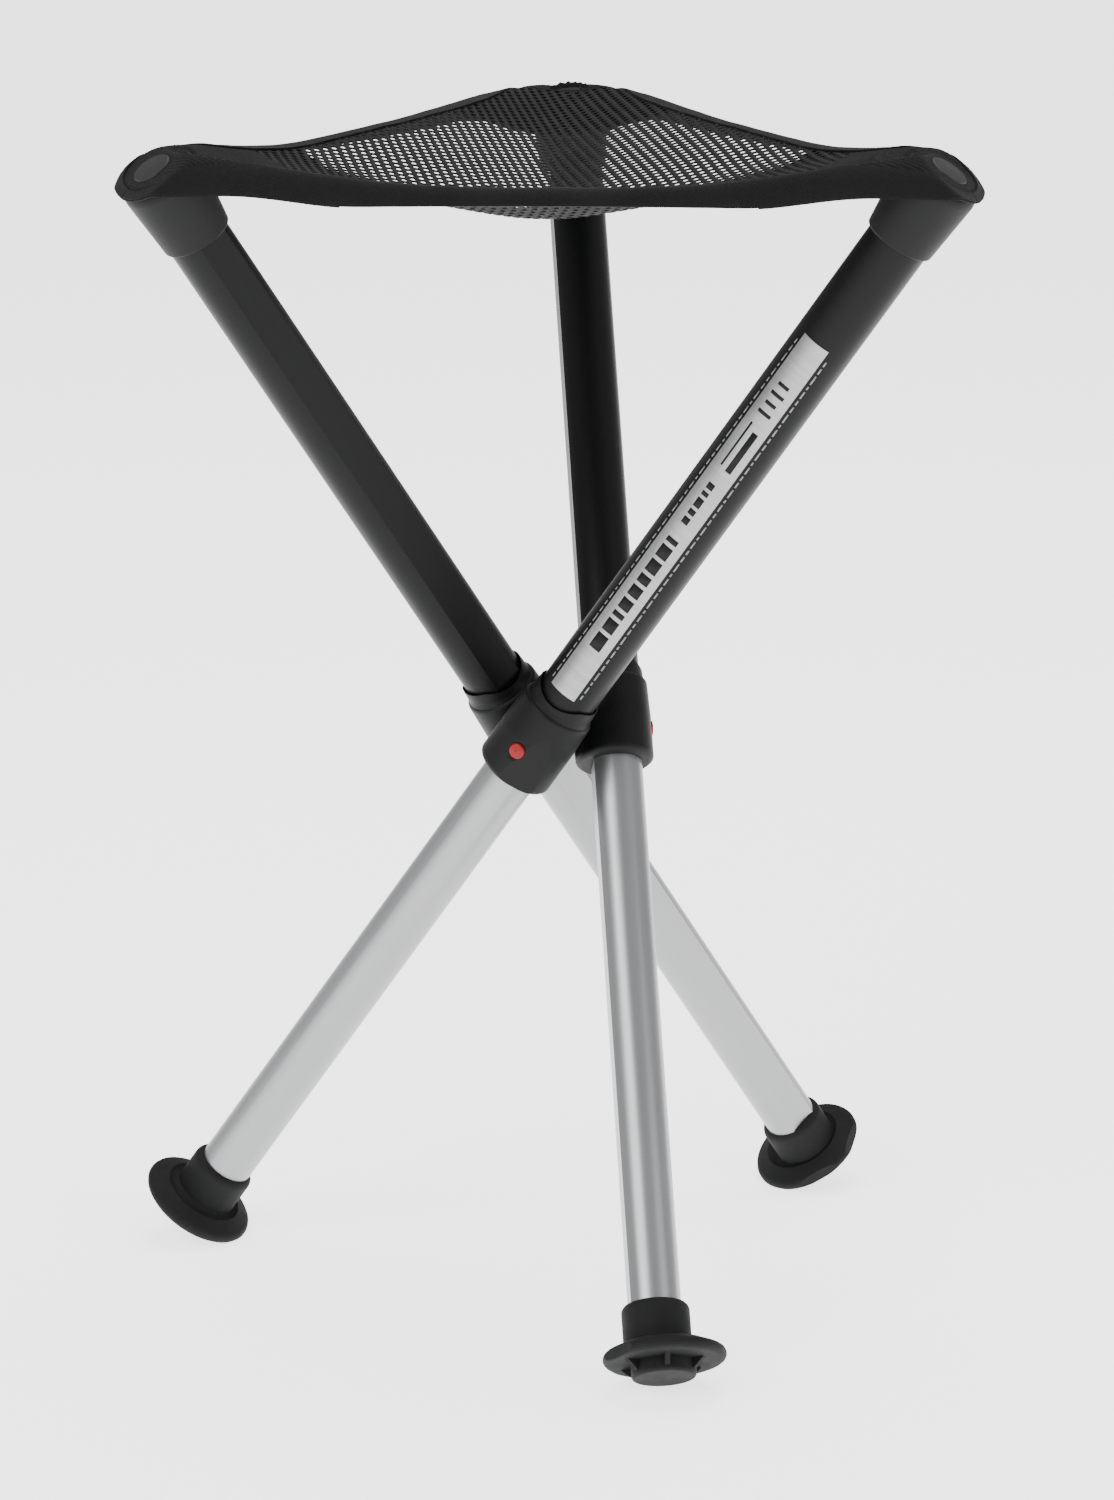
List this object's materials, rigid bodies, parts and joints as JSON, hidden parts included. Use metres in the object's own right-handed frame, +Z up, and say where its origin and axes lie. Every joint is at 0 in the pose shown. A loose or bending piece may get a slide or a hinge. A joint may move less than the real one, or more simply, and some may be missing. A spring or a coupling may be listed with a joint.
{
  "type": "three leg stool",
  "caption": "Folding field stool with telescopic legs crossing at a central hub and a triangular mesh seat slung between the leg tops.",
  "frame": {"origin": "on the ground, on the upright axis through the hub where the three legs cross", "axes": "+Z up; +Y towards the rear seat corner; the front edge of the seat faces -Y and runs along X"},
  "size_m": [0.3411, 0.3605, 0.4798],
  "materials": {
    "black_plastic": "fine moulded texture",
    "cap_plastic": "fine moulded texture",
    "rivet_plastic": "smooth satin",
    "red_plastic": "smooth",
    "white_plastic": "smooth",
    "black_aluminium": "black anodised, satin",
    "silver_aluminium": "clear anodised, satin",
    "label_metal": "brushed",
    "steel": "plated",
    "foot_rubber": "matte",
    "seat_mesh": "open knitted polyester mesh",
    "hem_fabric": "woven tape",
    "patch_fabric": "ribbed webbing"
  },
  "bodies": {
    "hub": {"hub": "black_plastic", "pivot_screw_1": "steel", "pivot_screw_2": "steel", "pivot_screw_3": "steel", "thrust_washer_1": "white_plastic", "thrust_washer_2": "white_plastic", "thrust_washer_3": "white_plastic"},
    "leg_1": {"collar_1": "black_plastic", "upper_tube_1": "black_aluminium", "end_cap_1": "cap_plastic", "corner_patch_1": "patch_fabric", "seat_rivet_1": "rivet_plastic", "label_plate": "label_metal"},
    "lower_leg_1": {"lower_tube_1": "silver_aluminium", "guide_bush_1": "white_plastic", "snap_spring_1": "steel", "rubber_foot_1": "foot_rubber"},
    "pin_1": {"snap_pin_1": "steel"},
    "button_1": {"release_button_1": "red_plastic"},
    "seat_1a": {"seat_panel_1a": "seat_mesh", "seat_hem_1a": "hem_fabric"},
    "seat_1b": {"seat_panel_1b": "seat_mesh", "seat_hem_1b": "hem_fabric"},
    "leg_2": {"collar_2": "black_plastic", "upper_tube_2": "black_aluminium", "end_cap_2": "cap_plastic", "corner_patch_2": "patch_fabric", "seat_rivet_2": "rivet_plastic"},
    "lower_leg_2": {"lower_tube_2": "silver_aluminium", "guide_bush_2": "white_plastic", "snap_spring_2": "steel", "rubber_foot_2": "foot_rubber"},
    "pin_2": {"snap_pin_2": "steel"},
    "button_2": {"release_button_2": "red_plastic"},
    "seat_2a": {"seat_panel_2a": "seat_mesh", "seat_hem_2a": "hem_fabric"},
    "seat_2b": {"seat_panel_2b": "seat_mesh", "seat_hem_2b": "hem_fabric"},
    "leg_3": {"collar_3": "black_plastic", "upper_tube_3": "black_aluminium", "end_cap_3": "cap_plastic", "corner_patch_3": "patch_fabric", "seat_rivet_3": "rivet_plastic"},
    "lower_leg_3": {"lower_tube_3": "silver_aluminium", "guide_bush_3": "white_plastic", "snap_spring_3": "steel", "rubber_foot_3": "foot_rubber"},
    "pin_3": {"snap_pin_3": "steel"},
    "button_3": {"release_button_3": "red_plastic"},
    "seat_3a": {"seat_panel_3a": "seat_mesh", "seat_hem_3a": "hem_fabric"},
    "seat_3b": {"seat_panel_3b": "seat_mesh", "seat_hem_3b": "hem_fabric"}
  },
  "joints": [
    {"name": "fold_1", "type": "hinge", "parent": "hub", "child": "leg_1", "pos_m": [0, 0, 0.23], "axis": [-0.3815, -0.9243, 0], "range_deg": [0, 35.9]},
    {"name": "extend_1", "type": "slide", "parent": "leg_1", "child": "lower_leg_1", "axis": [0.542, -0.2237, 0.81], "range_m": [0, 0.226], "deforming": ["snap_pin_1"]},
    {"name": "press_1", "type": "slide", "parent": "leg_1", "child": "button_1", "axis": [0.3815, 0.9243, 0], "range_m": [0, 0.0022], "stiffness_N_per_m": 900, "springref_m": -0.002, "deforming": ["snap_spring_1"]},
    {"name": "pin_slide_1", "type": "slide", "parent": "lower_leg_1", "child": "pin_1", "axis": [0.3815, 0.9243, 0], "range_m": [0, 0.0022]},
    {"name": "seat_fold_1a", "type": "hinge", "parent": "leg_1", "child": "seat_1a", "pos_m": [0.15856, -0.08586, 0.46166], "axis": [-0.8606, 0.2269, -0.4559], "range_deg": [0, 124.36], "deforming": ["seat_panel_1a", "seat_hem_1a"]},
    {"name": "seat_fold_1b", "type": "hinge", "parent": "leg_1", "child": "seat_1b", "pos_m": [0.15463, -0.07652, 0.45794], "axis": [-0.8858, -0.2844, -0.3668], "range_deg": [0, 70.05], "deforming": ["seat_panel_1b", "seat_hem_1b"]},
    {"name": "fold_2", "type": "hinge", "parent": "hub", "child": "leg_2", "pos_m": [0, 0, 0.23], "axis": [0.9913, 0.1317, 0], "range_deg": [0, 35.9]},
    {"name": "extend_2", "type": "slide", "parent": "leg_2", "child": "lower_leg_2", "axis": [-0.0773, 0.5813, 0.81], "range_m": [0, 0.226], "deforming": ["snap_pin_2"]},
    {"name": "press_2", "type": "slide", "parent": "leg_2", "child": "button_2", "axis": [-0.9913, -0.1317, 0], "range_m": [0, 0.0022], "stiffness_N_per_m": 900, "springref_m": -0.002, "deforming": ["snap_spring_2"]},
    {"name": "pin_slide_2", "type": "slide", "parent": "lower_leg_2", "child": "pin_2", "axis": [-0.9913, -0.1317, 0], "range_m": [0, 0.0022]},
    {"name": "seat_fold_2a", "type": "hinge", "parent": "leg_2", "child": "seat_2a", "pos_m": [-0.00492, 0.18025, 0.46166], "axis": [0.2338, -0.8588, -0.4559], "range_deg": [0, 124.36], "deforming": ["seat_panel_2a", "seat_hem_2a"]},
    {"name": "seat_fold_2b", "type": "hinge", "parent": "leg_2", "child": "seat_2b", "pos_m": [-0.01104, 0.17217, 0.45794], "axis": [0.6892, -0.6249, -0.3668], "range_deg": [0, 70.05], "deforming": ["seat_panel_2b", "seat_hem_2b"]},
    {"name": "fold_3", "type": "hinge", "parent": "hub", "child": "leg_3", "pos_m": [0, 0, 0.23], "axis": [-0.6097, 0.7926, 0], "range_deg": [0, 35.9]},
    {"name": "extend_3", "type": "slide", "parent": "leg_3", "child": "lower_leg_3", "axis": [-0.4648, -0.3575, 0.81], "range_m": [0, 0.226], "deforming": ["snap_pin_3"]},
    {"name": "press_3", "type": "slide", "parent": "leg_3", "child": "button_3", "axis": [0.6097, -0.7926, 0], "range_m": [0, 0.0022], "stiffness_N_per_m": 900, "springref_m": -0.002, "deforming": ["snap_spring_3"]},
    {"name": "pin_slide_3", "type": "slide", "parent": "lower_leg_3", "child": "pin_3", "axis": [0.6097, -0.7926, 0], "range_m": [0, 0.0022]},
    {"name": "seat_fold_3a", "type": "hinge", "parent": "leg_3", "child": "seat_3a", "pos_m": [-0.15364, -0.09439, 0.46166], "axis": [0.6268, 0.6318, -0.4559], "range_deg": [0, 124.36], "deforming": ["seat_panel_3a", "seat_hem_3a"]},
    {"name": "seat_fold_3b", "type": "hinge", "parent": "leg_3", "child": "seat_3b", "pos_m": [-0.14358, -0.09565, 0.45794], "axis": [0.1966, 0.9093, -0.3668], "range_deg": [0, 70.05], "deforming": ["seat_panel_3b", "seat_hem_3b"]}
  ],
  "couplings": [
    {"joint": "pin_slide_1", "follows": "press_1", "ratio": 1},
    {"joint": "seat_fold_1a", "follows": "fold_1", "ratio": 3.464},
    {"joint": "seat_fold_1b", "follows": "fold_1", "ratio": 1.9511},
    {"joint": "pin_slide_2", "follows": "press_2", "ratio": 1},
    {"joint": "fold_2", "follows": "fold_1", "ratio": 1},
    {"joint": "seat_fold_2a", "follows": "fold_1", "ratio": 3.464},
    {"joint": "seat_fold_2b", "follows": "fold_1", "ratio": 1.9511},
    {"joint": "pin_slide_3", "follows": "press_3", "ratio": 1},
    {"joint": "fold_3", "follows": "fold_1", "ratio": 1},
    {"joint": "seat_fold_3a", "follows": "fold_1", "ratio": 3.464},
    {"joint": "seat_fold_3b", "follows": "fold_1", "ratio": 1.9511}
  ]
}
